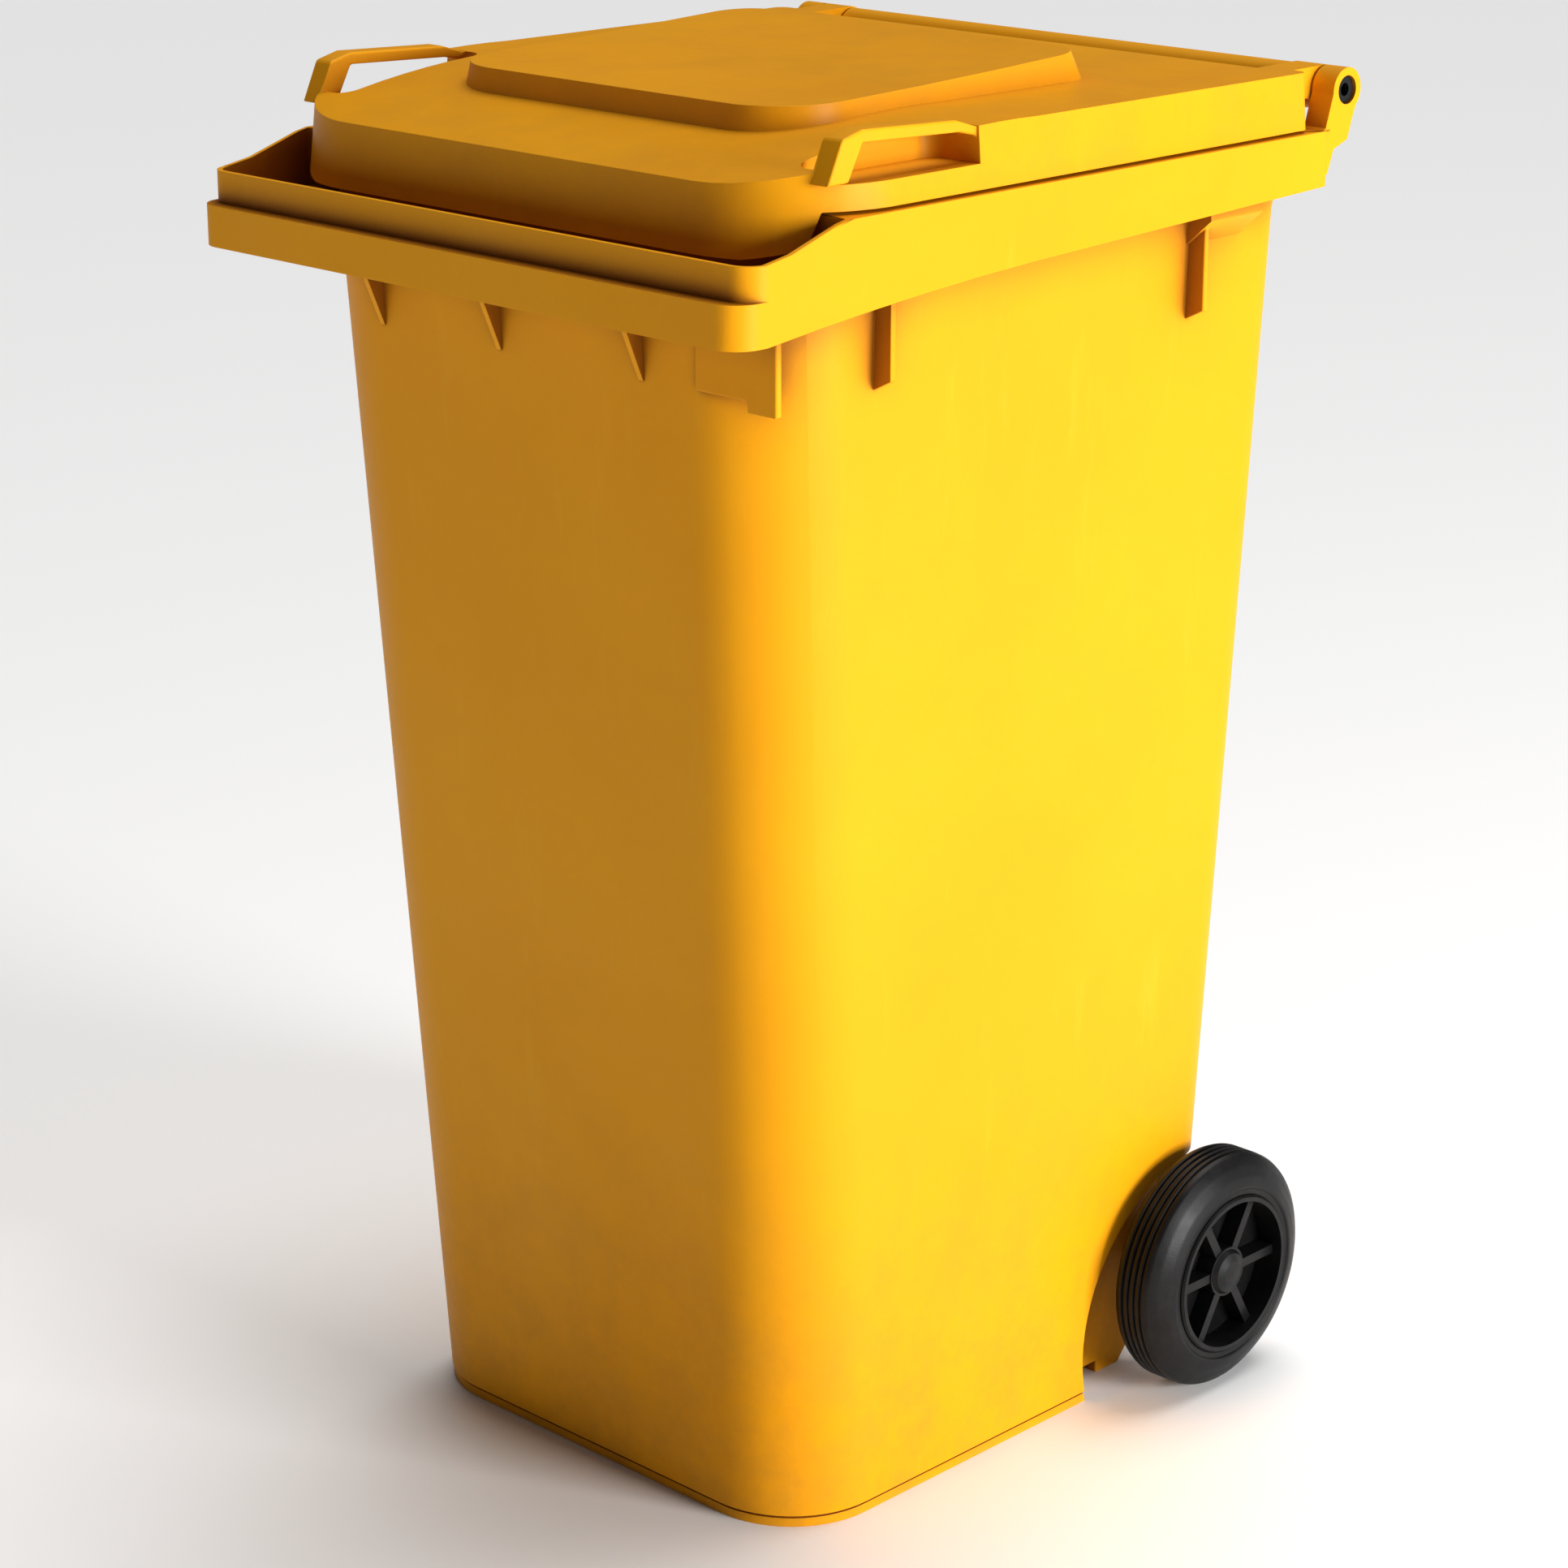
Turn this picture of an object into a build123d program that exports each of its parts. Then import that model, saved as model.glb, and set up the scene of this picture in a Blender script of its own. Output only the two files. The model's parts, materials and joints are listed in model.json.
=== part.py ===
from build123d import *
import os

os.makedirs("parts", exist_ok=True)

# Frame: +X is the right-hand side, -Y the front with the lifting comb, +Y the rear with handle and wheels.
# The origin is on the floor at the centre of the footprint. All sizes in millimetres.

# Overall
DEPTH = 676.0
FRONT_Y = -DEPTH / 2
WALL = 4.0
SKIN = 3.5

# Container walls
BASE_Z = 10.0
WALL_TOP_Z = 985.0
BASE_HALF_X = 221.0
TOP_HALF_X = 248.0
BASE_FRONT_Y = FRONT_Y + 122.0
TOP_FRONT_Y = FRONT_Y + 65.5
BASE_REAR_Y = FRONT_Y + 602.0
TOP_REAR_Y = FRONT_Y + 643.0
TOP_CORNER_R = 80.0
REAR_CORNER_R = 35.0
FLOOR_T = 4.5
FOOT_INSET = 2.0
FOOT_T = 6.0
GROOVE_INSET = 4.0
GROOVE_H = 2.5

# Mouth of the container
NECK_TOP_Z = 1036.0
NECK_REAR_Y = FRONT_Y + 601.0
NECK_REAR_R = 40.0
NECK_INSET = 1.5

# Rim and lifting comb
RIM_HALF_X = 285.5
RIM_REAR_Y = FRONT_Y + 640.0
RIM_TOP_Z = 1027.5
RIM_FRONT_BOTTOM_Z = 952.0
RIM_SIDE_BOTTOM_Z = 973.5
RIM_REAR_BOTTOM_Z = 986.0
RIM_SWEEP_END_Y = FRONT_Y + 300.0
RIM_SWEEP_RISE = 11.5
FLANGE_T = 5.0
BAND_Z = 983.0
BAND_STEP = 12.0
COMB_TOP_Z = 1007.0
COMB_FLOOR_Z = 984.0
UPPER_CORNER_R = 20.0
LOWER_CORNER_R = 22.0
RIM_REAR_R = 8.0
CHANNEL_END_Y = FRONT_Y + 112.0
RIM_RAMP_START_Y = FRONT_Y + 52.0

# Under-rim gussets
GUSSET_T = 5.0
GUSSET_TIP_Z = 899.0
GUSSET_OUTER_Y = FRONT_Y + 36.0
COMB_GUSSET_X = (-155.0, -26.0, 122.0)
SIDE_GUSSET_Y = FRONT_Y + 177.0
SIDE_GUSSET_REACH = 15.0
SIDE_GUSSET_BOTTOM_Z = 895.0
SIDE_GUSSET_RISE = 8.0
REAR_GUSSET_Y = FRONT_Y + 522.0
REAR_LEDGE_LENGTH = 63.0
REAR_LEDGE_Z = 952.0
REAR_LEDGE_RISE = 20.0
CORNER_WEB_IN_X = 178.0
CORNER_WEB_OUT_X = 256.0
CORNER_WEB_LINE_Z = 930.0
CORNER_WEB_T = 6.0
CORNER_WEB_BOTTOM_Z = 901.0
CORNER_TOOTH_W = 28.0
CORNER_TOOTH_BOTTOM_Z = 893.0

# Handle recess in the rear wall, handle bar and hinge line
HINGE_Y = FRONT_Y + 659.0
HINGE_Z = 1056.0
HINGE_R = 17.0
PIN_R = 10.9
PIN_BORE_R = 10.95
PIN_INSERTION = 46.0
PIN_SINK = 2.5
PIN_HOLE_R = 5.0
PIN_HOLE_DEPTH = 12.0
EAR_BORE_R = 10.98
BAR_R = 16.0
BAR_HALF_X = 232.0
EAR_INNER_X = 234.0
EAR_OUTER_X = 262.0
LUG_INNER_X = 264.0
LUG_OUTER_X = 284.5
RECESS_HALF_X = 208.0
RECESS_RAMP_Z = 900.0
RECESS_FULL_Z = 955.0
BAR_SUPPORT_X = 206.0
BAR_SUPPORT_T = 26.0
BAR_SUPPORT_FOOT_Z = 960.0

# Wheel arches and axle supports
AXLE_Y = FRONT_Y + 572.0
AXLE_Z = 100.0
AXLE_R = 10.0
AXLE_HALF_L = 281.0
SUPPORT_BORE_R = 10.4
ARCH_Y = FRONT_Y + 600.0
ARCH_Z = 45.0
ARCH_R = 141.0
CHEEK_BOSS_DEPTH = 16.0
CHEEK_OUTER_X = 192.0
HUB_SEAT_X = 212.0
STEP_Y = FRONT_Y + 516.0
STEP_Z = 140.0
SUPPORT_RIBS_X = (-150.0, -60.0, 60.0, 150.0)
SUPPORT_BOSS_R = 17.0
HEEL_Y = FRONT_Y + 540.0
HEEL_Z = 84.0

# Lid
LID_HALF_X = 283.5
LID_TOP_HALF_X = 277.0
LID_FRONT_Y = FRONT_Y + 58.0
LID_REAR_Y = FRONT_Y + 620.0
LID_MID_REAR_Y = FRONT_Y + 611.0
LID_FRONT_R = 98.0
LID_REAR_R = 10.0
LID_LEAN = 5.0
LID_SKIRT_Z = 1030.0
LID_FRONT_DROP = 32.0
LID_CUT_LOW_Z = 1000.0
LID_CUT_HIGH_Z = 1120.0
LID_LIP_T = 12.0
LID_FRONT_TOP_Z = 1047.0
LID_TOP_Z = 1074.0
PANEL_HALF_X = 188.0
PANEL_FRONT_Y = FRONT_Y + 147.0
PANEL_REAR_Y = FRONT_Y + 500.0
PANEL_TOP_HALF_X = 180.0
PANEL_TOP_FRONT_Y = FRONT_Y + 156.0
PANEL_TOP_REAR_Y = FRONT_Y + 474.0
PANEL_FRONT_Z = 1084.0
PANEL_REAR_Z = 1096.0
PANEL_LOFT_Z = 1099.0
PANEL_FRONT_R = 60.0
PANEL_REAR_R = 32.0

# Loop handles and finger pockets at the lid's front corners
POCKET_INNER_X = 234.0
POCKET_START_Y = FRONT_Y + 106.0
POCKET_END_Y = FRONT_Y + 246.0
POCKET_FLOOR_Z = 1048.0
POCKET_R = 14.0
LOOP_INNER_X = 257.0
LOOP_OUTER_X = 275.0
LOOP_TOP_Z = 1084.0
LOOP_T = 9.0

# Wheels
TYRE_R = 100.0
TYRE_INNER_X = 238.5
TYRE_OUTER_X = 287.5
TREAD_GROOVES_X = (12.0, 20.0, 28.0)
TREAD_GROOVE_DEPTH = 3.0
TREAD_GROOVE_LOW_W = 2.4
TREAD_GROOVE_HIGH_W = 3.6
BEAD_R = 67.0
RIM_WALL = 5.0
HUB_R = 21.0
HUB_INNER_X = 218.0
HUB_OUTER_X = 279.0
BUSH_R = 13.0
BUSH_BORE_R = 10.05
BUSH_OUTER_X = 248.0
HUB_BORE_R = 10.4
WASHER_R = 19.0
WASHER_T = 4.0
WASHER_PLAY = 1.0
WEB_X = 262.0
WEB_T = 4.0
SPOKES = 6
SPOKE_W = 8.0

# Wheel lock
LOCK_X = 255.0
LOCK_BORE_R = 4.1
LOCK_BODY_R = 4.0
LOCK_TIP_R = 2.6
LOCK_TIP_BOTTOM = 8.7
LOCK_SHOULDER = 12.0
LOCK_BODY_TOP = 18.0
LOCK_POCKET_TOP = 30.0
LOCK_BOSS_TOP = 34.0
LOCK_BOSS_R = 8.0
AXLE_GROOVE_DEPTH = 1.6
AXLE_GROOVE_W = 7.0
SPRING_R = 2.9
SPRING_WIRE_R = 0.45
SPRING_TURNS = 5
CAP_R = 19.0
CAP_T = 3.5
CAP_PLUG_R = 9.8
EPS_GAP = 0.05


def plan(half_x, y_front, y_rear, r_front, r_rear, z):
    """Rounded rectangular outline at height z."""
    outline = Rectangle(2 * half_x, y_rear - y_front)
    outline = fillet(outline.vertices().group_by(Axis.Y)[-1], r_rear)
    outline = fillet(outline.vertices().group_by(Axis.Y)[0], r_front)
    return Pos(0, (y_front + y_rear) / 2, z) * outline


def prism(half_x, y_front, y_rear, r_front, r_rear, z_low, z_high):
    """Upright block with a rounded rectangular outline."""
    return extrude(plan(half_x, y_front, y_rear, r_front, r_rear, z_low), z_high - z_low)


def block(x_low, x_high, y_low, y_high, z_low, z_high):
    """Plain box between two corners."""
    size = (x_high - x_low, y_high - y_low, z_high - z_low)
    centre = ((x_low + x_high) / 2, (y_low + y_high) / 2, (z_low + z_high) / 2)
    return Pos(*centre) * Box(*size)


def rod(radius, x_low, x_high, y, z):
    """Cylinder along X."""
    return Pos((x_low + x_high) / 2, y, z) * Rot(0, 90, 0) * Cylinder(radius, x_high - x_low)


def side_profile(points, x_low, x_high):
    """Polygon drawn in the side view (y, z) and extruded along X."""
    outline = Polyline(*[(0, y, z) for y, z in points], close=True)
    return Pos(x_low, 0, 0) * extrude(make_face(outline), x_high - x_low, dir=(1, 0, 0))


def both_sides(shape):
    """The shape and its mirror image across the centre plane."""
    return [shape, mirror(shape, Plane.YZ)]


def wall_at(z, low, high):
    """Value of a linearly tapering wall dimension at height z."""
    return low + (high - low) * (z - BASE_Z) / (WALL_TOP_Z - BASE_Z)


def tapered_block(low, high, r_front, r_rear):
    """Block with flat leaning sides and rounded upright corners.

    low and high each give (half width, front y, rear y, z).
    """
    half_low, front_low, rear_low, z_low = low
    half_high, front_high, rear_high, z_high = high
    side = side_profile(
        [(front_low, z_low), (rear_low, z_low), (rear_high, z_high), (front_high, z_high)],
        -half_high - half_low, half_high + half_low)
    reach_y = min(front_low, front_high) - 10.0
    length = max(rear_low, rear_high) + 10.0 - reach_y
    outline = Polyline((-half_low, reach_y, z_low), (half_low, reach_y, z_low),
                       (half_high, reach_y, z_high), (-half_high, reach_y, z_high), close=True)
    solid = side & extrude(make_face(outline), length, dir=(0, 1, 0))
    upright = [edge for edge in solid.edges() if abs(edge.tangent_at(0.5).Z) > 0.3]
    ordered = sorted(upright, key=lambda edge: edge.center().Y)
    solid = fillet(ordered[:2], r_front)
    upright = [edge for edge in solid.edges() if abs(edge.tangent_at(0.5).Z) > 0.3]
    ordered = sorted(upright, key=lambda edge: edge.center().Y)
    return fillet(ordered[-2:], r_rear)


def tapered_body(inset, z_low, z_high):
    """The container's tapered form, moved inwards by inset."""
    ends = []
    for z in (z_low, z_high):
        ends.append((
            wall_at(z, BASE_HALF_X, TOP_HALF_X) - inset,
            wall_at(z, BASE_FRONT_Y, TOP_FRONT_Y) + inset,
            wall_at(z, BASE_REAR_Y, TOP_REAR_Y) - inset,
            z,
        ))
    return tapered_block(ends[0], ends[1], TOP_CORNER_R - inset, REAR_CORNER_R - inset)


def handle_recess(grow):
    """Space cut into the top of the rear wall so that a hand fits behind the handle bar."""
    reach = TOP_REAR_Y + 40.0
    deep = NECK_REAR_Y - grow
    points = [
        (reach, RECESS_RAMP_Z - grow - 14.0),
        (TOP_REAR_Y + 6.0, RECESS_RAMP_Z - grow - 14.0),
        (deep, RECESS_FULL_Z - grow),
        (deep, NECK_TOP_Z + 40.0),
        (reach, NECK_TOP_Z + 40.0),
    ]
    return side_profile(points, -RECESS_HALF_X - grow, RECESS_HALF_X + grow)


def arches(cheek_x, radius):
    """Space of both wheel arches outside the cheeks."""
    right = rod(radius, cheek_x, RIM_HALF_X + 20.0, ARCH_Y, ARCH_Z)
    return both_sides(right)


def neck(inset, z_high):
    """Upright neck round the mouth, moved inwards by inset."""
    step = inset + NECK_INSET
    return prism(TOP_HALF_X - step, TOP_FRONT_Y + step, NECK_REAR_Y - inset, TOP_CORNER_R - step - 2.0,
                 NECK_REAR_R - inset, WALL_TOP_Z, z_high)


def container_walls():
    """Tapered walls, floor and mouth with handle recess, wheel arches and raised axle step."""
    outer = tapered_body(0.0, BASE_Z, WALL_TOP_Z)
    outer += neck(0.0, NECK_TOP_Z)
    foot_z = BASE_Z - GROOVE_H
    for inset, z_low, z_high in ((FOOT_INSET, 0.0, foot_z), (GROOVE_INSET, foot_z, BASE_Z)):
        outer += prism(BASE_HALF_X - inset, BASE_FRONT_Y + inset, BASE_REAR_Y - inset,
                       TOP_CORNER_R - inset, REAR_CORNER_R - inset, z_low, z_high)
    inner = tapered_body(WALL, BASE_Z + FLOOR_T, WALL_TOP_Z)
    inner += neck(WALL, NECK_TOP_Z)
    inner -= handle_recess(WALL)
    inner -= block(-RIM_HALF_X, RIM_HALF_X, STEP_Y - WALL, TOP_REAR_Y + 20.0, 0.0, STEP_Z)
    for arch in arches(CHEEK_OUTER_X - WALL, ARCH_R + WALL):
        inner -= arch
    under = prism(BASE_HALF_X - FOOT_INSET - FOOT_T, BASE_FRONT_Y + FOOT_INSET + FOOT_T, STEP_Y - WALL,
                  TOP_CORNER_R - FOOT_INSET - FOOT_T, 4.0, 0.0, BASE_Z)
    walls = outer - inner - under - handle_recess(0.0)
    for arch in arches(CHEEK_OUTER_X, ARCH_R):
        walls -= arch
    pocket_half_x = CHEEK_OUTER_X - WALL
    walls -= block(-pocket_half_x, pocket_half_x, STEP_Y, TOP_REAR_Y + 20.0, -1.0, STEP_Z - WALL)
    return walls


def axle_supports():
    """Ribs and bosses under the raised step that carry the axle."""
    parts = []
    for x in SUPPORT_RIBS_X:
        parts.append(side_profile([
            (STEP_Y - 1.0, STEP_Z - WALL + 1.0),
            (STEP_Y - 1.0, 14.0),
            (AXLE_Y - 12.0, AXLE_Z - 20.0),
            (AXLE_Y + 14.0, AXLE_Z - 16.0),
            (AXLE_Y + 36.0, STEP_Z - WALL + 1.0),
        ], x - GUSSET_T / 2, x + GUSSET_T / 2))
        parts.append(rod(SUPPORT_BOSS_R, x - 9.0, x + 9.0, AXLE_Y, AXLE_Z))
    cheek_boss = rod(SUPPORT_BOSS_R, CHEEK_OUTER_X - CHEEK_BOSS_DEPTH, HUB_SEAT_X, AXLE_Y, AXLE_Z)
    parts += both_sides(cheek_boss)
    return parts


def rim_lower_edge():
    """Region below the rim's lower edge, which drops to the comb and rises slightly to the rear."""
    start = (FRONT_Y + 30.0, RIM_FRONT_BOTTOM_Z)
    middle = (FRONT_Y + 142.0, RIM_FRONT_BOTTOM_Z + RIM_SWEEP_RISE)
    end = (RIM_SWEEP_END_Y, RIM_SIDE_BOTTOM_Z)
    sweep_edge = ThreePointArc((0, *start), (0, *middle), (0, *end))
    rest = Polyline((0, *end), (0, RIM_REAR_Y + 10.0, RIM_REAR_BOTTOM_Z), (0, RIM_REAR_Y + 10.0, 900.0),
                    (0, start[0], 900.0), (0, *start))
    face = make_face([sweep_edge, rest])
    return Pos(-RIM_HALF_X - 5.0, 0, 0) * extrude(face, 2 * RIM_HALF_X + 10.0, dir=(1, 0, 0))


def rim_upper_edge():
    """Region above the comb, where the rim's top steps down to the comb's upstand."""
    return side_profile([
        (FRONT_Y - 10.0, COMB_TOP_Z),
        (FRONT_Y + 28.0, COMB_TOP_Z),
        (RIM_RAMP_START_Y, COMB_TOP_Z + 4.0),
        (CHANNEL_END_Y - 14.0, RIM_TOP_Z - 2.0),
        (CHANNEL_END_Y - 4.0, RIM_TOP_Z),
        (CHANNEL_END_Y - 4.0, RIM_TOP_Z + 20.0),
        (FRONT_Y - 10.0, RIM_TOP_Z + 20.0),
    ], -RIM_HALF_X - 5.0, RIM_HALF_X + 5.0)


def rim():
    """Hollow rim with the stepped lifting comb along the front and an open channel behind it."""
    inside_x = RIM_HALF_X - WALL
    upper = prism(RIM_HALF_X, FRONT_Y + BAND_STEP, RIM_REAR_Y, UPPER_CORNER_R, RIM_REAR_R,
                  RIM_FRONT_BOTTOM_Z, RIM_TOP_Z)
    lower = prism(RIM_HALF_X, FRONT_Y, CHANNEL_END_Y + 80.0, LOWER_CORNER_R, 1.0, RIM_FRONT_BOTTOM_Z, BAND_Z)
    shell = upper + lower
    shell -= rim_lower_edge()
    shell -= rim_upper_edge()
    shell -= prism(inside_x, CHANNEL_END_Y, RIM_REAR_Y - WALL, 2.0, 5.0, 900.0, RIM_TOP_Z - FLANGE_T)
    shell -= prism(inside_x, FRONT_Y + WALL, CHANNEL_END_Y + 1.0, LOWER_CORNER_R - WALL, 1.0,
                   900.0, BAND_Z - WALL)
    shell -= prism(inside_x, FRONT_Y + BAND_STEP + WALL, CHANNEL_END_Y - WALL, UPPER_CORNER_R - WALL, 1.0,
                   COMB_FLOOR_Z, RIM_TOP_Z + 20.0)
    return shell


def gussets():
    """Stiffening gussets between the rim and the walls, with one toothed web at the right front corner."""
    parts = []
    wall_y = wall_at(RIM_FRONT_BOTTOM_Z, BASE_FRONT_Y, TOP_FRONT_Y)
    wall_x = wall_at(RIM_SIDE_BOTTOM_Z, BASE_HALF_X, TOP_HALF_X)
    for x in COMB_GUSSET_X:
        parts.append(side_profile([
            (wall_y + 6.0, COMB_FLOOR_Z - 2.0),
            (GUSSET_OUTER_Y, COMB_FLOOR_Z - 2.0),
            (GUSSET_OUTER_Y, BAND_Z - WALL - 2.0),
            (wall_y + 2.0, GUSSET_TIP_Z),
            (wall_y + 6.0, GUSSET_TIP_Z),
        ], x - GUSSET_T / 2, x + GUSSET_T / 2))
    for y in (SIDE_GUSSET_Y, REAR_GUSSET_Y):
        inner_x = wall_x - 5.0
        outline = Polyline(
            (inner_x, 0, RIM_TOP_Z - 2.0),
            (wall_x + SIDE_GUSSET_REACH, 0, RIM_TOP_Z - 2.0),
            (wall_x + SIDE_GUSSET_REACH, 0, SIDE_GUSSET_BOTTOM_Z + SIDE_GUSSET_RISE),
            (wall_x - 1.0, 0, SIDE_GUSSET_BOTTOM_Z),
            (inner_x, 0, SIDE_GUSSET_BOTTOM_Z),
            close=True,
        )
        plate = Pos(0, y - GUSSET_T / 2, 0) * extrude(make_face(outline), GUSSET_T, dir=(0, 1, 0))
        parts += both_sides(plate)
    ledge_outline = Polyline(
        (wall_x - 5.0, 0, REAR_LEDGE_Z),
        (wall_x, 0, REAR_LEDGE_Z),
        (wall_x + SIDE_GUSSET_REACH + 8.0, 0, REAR_LEDGE_Z + REAR_LEDGE_RISE),
        (wall_x + SIDE_GUSSET_REACH + 8.0, 0, RIM_TOP_Z - 2.0),
        (wall_x - 5.0, 0, RIM_TOP_Z - 2.0),
        close=True,
    )
    ledge = extrude(make_face(ledge_outline), REAR_LEDGE_LENGTH, dir=(0, 1, 0))
    ledge = Pos(0, REAR_GUSSET_Y - GUSSET_T - 1.0, 0) * ledge
    parts += both_sides(ledge)
    web_y = wall_at(CORNER_WEB_LINE_Z, BASE_FRONT_Y, TOP_FRONT_Y) - 1.0
    web_rear = web_y + CORNER_WEB_T
    tooth_in = CORNER_WEB_OUT_X - CORNER_TOOTH_W
    web = block(CORNER_WEB_IN_X, CORNER_WEB_OUT_X, web_y, web_rear,
                CORNER_WEB_BOTTOM_Z, COMB_FLOOR_Z - 2.0)
    web += block(tooth_in, CORNER_WEB_OUT_X, web_y, web_rear,
                 CORNER_TOOTH_BOTTOM_Z, CORNER_WEB_BOTTOM_Z + 1.0)
    parts.append(web)
    return parts


def hinge_lug():
    """Right-hand lug at the rim's rear corner that holds the outer end of a hinge pin."""
    lug = side_profile([
        (RIM_REAR_Y - 12.0, RIM_TOP_Z - 3.0),
        (RIM_REAR_Y - 6.0, RIM_TOP_Z + 2.0),
        (HINGE_Y - HINGE_R + 0.5, HINGE_Z),
        (HINGE_Y, HINGE_Z + 2.0),
        (HINGE_Y + HINGE_R - 0.5, HINGE_Z),
        (HINGE_Y + 8.0, HINGE_Z - 22.0),
        (HINGE_Y + 3.0, HINGE_Z - 38.0),
        (RIM_REAR_Y + 5.0, HINGE_Z - 44.0),
        (RIM_REAR_Y - 2.0, HINGE_Z - 62.0),
        (RIM_REAR_Y - 12.0, HINGE_Z - 62.0),
    ], LUG_INNER_X, LUG_OUTER_X)
    return lug + rod(HINGE_R, LUG_INNER_X, LUG_OUTER_X, HINGE_Y, HINGE_Z)


def handle_bar():
    """Tubular handle bar on the hinge line with its end and centre supports."""
    parts = [rod(BAR_R, -BAR_HALF_X, BAR_HALF_X, HINGE_Y, HINGE_Z)]
    end_support = side_profile([
        (RIM_REAR_Y - 19.0, RIM_TOP_Z - 3.0),
        (HINGE_Y - 14.0, HINGE_Z + 4.0),
        (HINGE_Y + 12.0, HINGE_Z - 6.0),
        (HINGE_Y - 3.0, HINGE_Z - 34.0),
        (TOP_REAR_Y - 4.0, BAR_SUPPORT_FOOT_Z),
        (TOP_REAR_Y - 8.0, BAR_SUPPORT_FOOT_Z),
    ], BAR_SUPPORT_X, BAR_SUPPORT_X + BAR_SUPPORT_T)
    parts += both_sides(end_support)
    parts.append(side_profile([
        (NECK_REAR_Y - 2.0, RIM_TOP_Z - 3.0),
        (HINGE_Y - 14.0, HINGE_Z + 4.0),
        (HINGE_Y + 12.0, HINGE_Z - 6.0),
        (HINGE_Y - 6.0, HINGE_Z - 30.0),
        (NECK_REAR_Y - 2.0, BAR_SUPPORT_FOOT_Z + 2.0),
    ], -BAR_SUPPORT_T / 2, BAR_SUPPORT_T / 2))
    return parts


def container():
    """The whole container moulding."""
    cavity = tapered_body(WALL, BASE_Z + FLOOR_T, WALL_TOP_Z)
    cavity += neck(WALL, NECK_TOP_Z + 1.0)
    collar = rim() - cavity - handle_recess(0.0)
    for gusset in gussets():
        collar += gusset - cavity
    body = container_walls() + collar
    for support in axle_supports() + handle_bar() + both_sides(hinge_lug()):
        body += support
    body -= side_profile([
        (HEEL_Y, -1.0),
        (HEEL_Y, 0.0),
        (BASE_REAR_Y + 14.0, HEEL_Z),
        (BASE_REAR_Y + 60.0, HEEL_Z),
        (BASE_REAR_Y + 60.0, -1.0),
    ], -RIM_HALF_X, RIM_HALF_X)
    body -= rod(SUPPORT_BORE_R, -RIM_HALF_X, RIM_HALF_X, AXLE_Y, AXLE_Z)
    body -= rod(PIN_BORE_R, -LUG_OUTER_X - 1.0, LUG_OUTER_X + 1.0, HINGE_Y, HINGE_Z)
    return body


def lid_form(inset):
    """Outer form of the lid, moved inwards and down by inset."""
    low_z = LID_SKIRT_Z - LID_FRONT_DROP - 2.0
    high_z = LID_TOP_Z + 3.0
    form = tapered_block(
        (LID_HALF_X - inset, LID_FRONT_Y + inset, LID_REAR_Y - inset, low_z),
        (LID_TOP_HALF_X - inset, LID_FRONT_Y + LID_LEAN + inset, LID_REAR_Y - inset, high_z),
        LID_FRONT_R - inset, LID_REAR_R - inset)
    front = (0, LID_FRONT_Y - 20.0, LID_FRONT_TOP_Z - 6.0 - inset)
    middle = (0, LID_FRONT_Y + 105.0, LID_FRONT_TOP_Z + 20.0 - inset)
    crest = (0, LID_FRONT_Y + 250.0, LID_TOP_Z - inset)
    over_z = LID_TOP_Z + 40.0
    rest = Polyline(crest, (0, LID_REAR_Y + 20.0, LID_TOP_Z - 1.5 - inset), (0, LID_REAR_Y + 20.0, over_z),
                    (0, LID_FRONT_Y - 20.0, over_z), front)
    above = make_face([ThreePointArc(front, middle, crest), rest])
    form -= Pos(-LID_HALF_X - 10.0, 0, 0) * extrude(above, 2 * LID_HALF_X + 20.0, dir=(1, 0, 0))
    return form


def lid_lower_edge():
    """Region below the lid's skirt, which hangs lower into the comb's channel at the front."""
    return side_profile([
        (LID_FRONT_Y - 20.0, LID_SKIRT_Z - LID_FRONT_DROP),
        (LID_FRONT_Y + 8.0, LID_SKIRT_Z - LID_FRONT_DROP),
        (CHANNEL_END_Y - 19.0, LID_SKIRT_Z - LID_FRONT_DROP + 8.0),
        (CHANNEL_END_Y - 9.0, LID_SKIRT_Z),
        (LID_REAR_Y + 20.0, LID_SKIRT_Z),
        (LID_REAR_Y + 20.0, LID_SKIRT_Z - 60.0),
        (LID_FRONT_Y - 20.0, LID_SKIRT_Z - 60.0),
    ], -LID_HALF_X - 10.0, LID_HALF_X + 10.0)


def panel_form(inset):
    """Raised centre panel of the lid, rising gently towards its rear edge."""
    form = tapered_block(
        (PANEL_HALF_X - inset, PANEL_FRONT_Y + inset, PANEL_REAR_Y - inset, LID_FRONT_TOP_Z - 6.0),
        (PANEL_TOP_HALF_X - inset, PANEL_TOP_FRONT_Y + inset, PANEL_TOP_REAR_Y - inset, PANEL_LOFT_Z),
        PANEL_FRONT_R - inset, PANEL_REAR_R - inset)
    front = (0, PANEL_FRONT_Y - 20.0, PANEL_FRONT_Z - 1.0 - inset)
    middle = (0, (PANEL_FRONT_Y + PANEL_REAR_Y) / 2, PANEL_FRONT_Z + 4.0 - inset)
    back = (0, PANEL_REAR_Y, PANEL_REAR_Z - inset)
    over_z = PANEL_REAR_Z + 40.0
    rest = Polyline(back, (0, PANEL_REAR_Y, over_z), (0, PANEL_FRONT_Y - 20.0, over_z), front)
    above = make_face([ThreePointArc(front, middle, back), rest])
    return form - Pos(-LID_HALF_X, 0, 0) * extrude(above, 2 * LID_HALF_X, dir=(1, 0, 0))


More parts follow.
